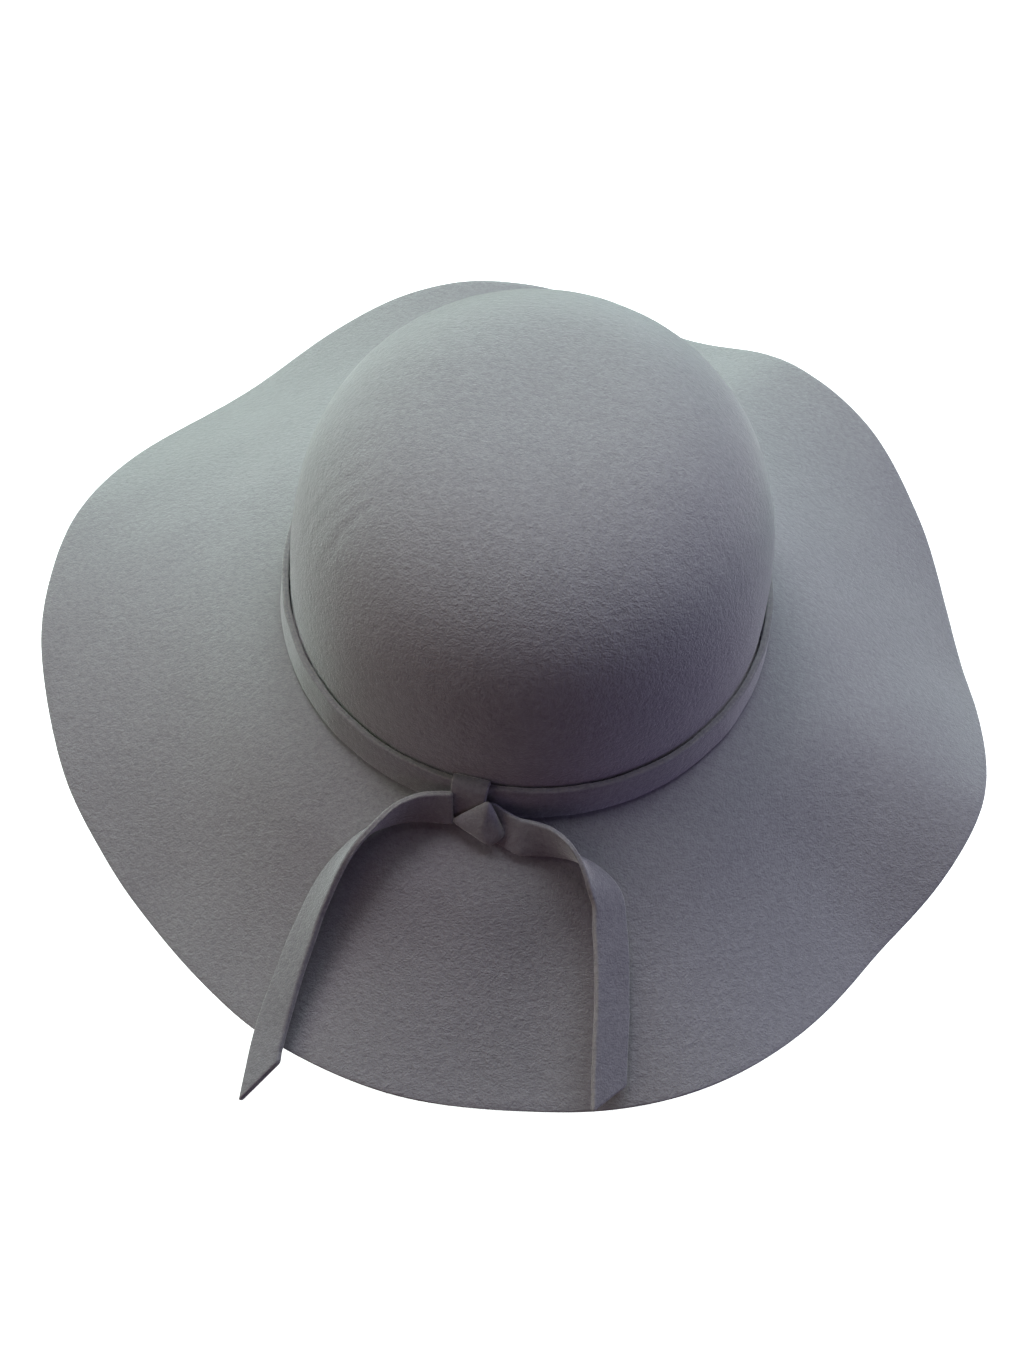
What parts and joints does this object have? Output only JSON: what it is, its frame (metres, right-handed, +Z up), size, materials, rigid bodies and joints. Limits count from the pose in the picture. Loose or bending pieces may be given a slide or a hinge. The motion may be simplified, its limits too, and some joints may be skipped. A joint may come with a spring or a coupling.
{
  "type": "wide-brimmed felt hat",
  "caption": "Floppy wide-brimmed felt hat with a rounded crown, a wavy drooping brim and a narrow felt strap knotted at the front with two free tails.",
  "frame": {"origin": "centre of the head opening, in the plane where the crown meets the brim", "axes": "+Z up through the crown, -Y towards the front with the knot, +X to the right of someone facing the front"},
  "size_m": [0.3609, 0.3786, 0.1587],
  "materials": {
    "felt": "brushed wool felt",
    "strap_felt": "wool felt with raw cut edges",
    "ribbon": "ribbed grosgrain",
    "thread": "twisted sewing thread",
    "label": "plain woven tape"
  },
  "bodies": {
    "hat": {"felt_body": "felt", "hat_band": "strap_felt", "knot_wrap": "strap_felt", "knot_fold": "strap_felt", "sweatband": "ribbon", "sweatband_thread": "thread", "label_tack": "thread", "band_tack_left": "thread", "band_tack_back": "thread", "band_tack_right": "thread"},
    "left_tail": {"left_tail": "strap_felt"},
    "right_tail": {"right_tail": "strap_felt"},
    "size_label": {"size_label": "label"}
  },
  "joints": [
    {"name": "left_tail_lift", "type": "hinge", "parent": "hat", "child": "left_tail", "pos_m": [-0.0194, -0.1035, 0.0122], "axis": [-0.8, 0.6, 0], "range_deg": [0, 75]},
    {"name": "right_tail_lift", "type": "hinge", "parent": "hat", "child": "right_tail", "pos_m": [0.001, -0.1078, 0.009], "axis": [-0.866, -0.5, 0], "range_deg": [0, 75]},
    {"name": "size_label_flip", "type": "hinge", "parent": "hat", "child": "size_label", "pos_m": [0, 0.09206, 0.023], "axis": [-1, 0, 0], "range_deg": [0, 90]}
  ]
}
